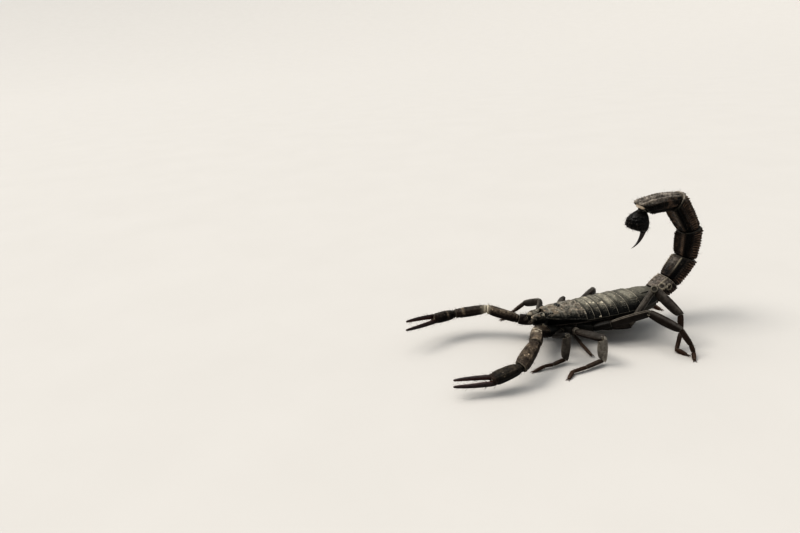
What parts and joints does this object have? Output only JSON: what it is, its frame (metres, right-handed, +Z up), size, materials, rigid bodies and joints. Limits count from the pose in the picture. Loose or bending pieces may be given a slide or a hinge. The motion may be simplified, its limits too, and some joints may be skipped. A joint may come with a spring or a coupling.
{
  "type": "thick-tailed scorpion",
  "caption": "Life-size black thick-tailed scorpion, walking with slim pincers held forward and its sting arched over its back.",
  "frame": {"origin": "on the floor, under the middle of the animal's bounding box", "axes": "+X to the animal's left, -Y towards the head and pincers, +Z up"},
  "size_m": [0.0674, 0.1216, 0.0542],
  "materials": {
    "body_shell": "dusty black-grey horny shell, finely granular",
    "tail_shell": "black-brown shell with granular keels",
    "leg_shell": "dark grey-brown shell, paler on the patellae",
    "arm_shell": "dusty dark shell with sand grains stuck on",
    "finger_shell": "dark red-brown, smooth",
    "eye": "black, wet-looking",
    "comb": "pale horny comb"
  },
  "bodies": {
    "root": {"carapace": "body_shell", "coxosternum": "body_shell", "mesosoma_1": "body_shell", "mesosoma_2": "body_shell", "mesosoma_3": "body_shell", "mesosoma_4": "body_shell", "mesosoma_5": "body_shell", "mesosoma_6": "body_shell", "mesosoma_7": "body_shell", "metasoma_1": "tail_shell", "metasoma_2": "tail_shell", "metasoma_3": "tail_shell", "metasoma_4": "tail_shell", "metasoma_5": "tail_shell", "telson": "tail_shell", "eye_left": "eye", "chelicera_left": "body_shell", "pectine_left": "comb", "palp_left_trochanter": "arm_shell", "palp_left_femur": "arm_shell", "palp_left_patella": "arm_shell", "palp_left_hand": "arm_shell", "palp_left_finger": "finger_shell", "leg_left_1_femur": "leg_shell", "leg_left_1_patella": "leg_shell", "leg_left_1_foot": "leg_shell", "leg_left_2_femur": "leg_shell", "leg_left_2_patella": "leg_shell", "leg_left_2_foot": "leg_shell", "leg_left_3_femur": "leg_shell", "leg_left_3_patella": "leg_shell", "leg_left_3_foot": "leg_shell", "leg_left_4_femur": "leg_shell", "leg_left_4_patella": "leg_shell", "leg_left_4_foot": "leg_shell", "eye_right": "eye", "chelicera_right": "body_shell", "pectine_right": "comb", "palp_right_trochanter": "arm_shell", "palp_right_femur": "arm_shell", "palp_right_patella": "arm_shell", "palp_right_hand": "arm_shell", "palp_right_finger": "finger_shell", "leg_right_1_femur": "leg_shell", "leg_right_1_patella": "leg_shell", "leg_right_1_foot": "leg_shell", "leg_right_2_femur": "leg_shell", "leg_right_2_patella": "leg_shell", "leg_right_2_foot": "leg_shell", "leg_right_3_femur": "leg_shell", "leg_right_3_patella": "leg_shell", "leg_right_3_foot": "leg_shell", "leg_right_4_femur": "leg_shell", "leg_right_4_patella": "leg_shell", "leg_right_4_foot": "leg_shell"}
  },
  "joints": []
}
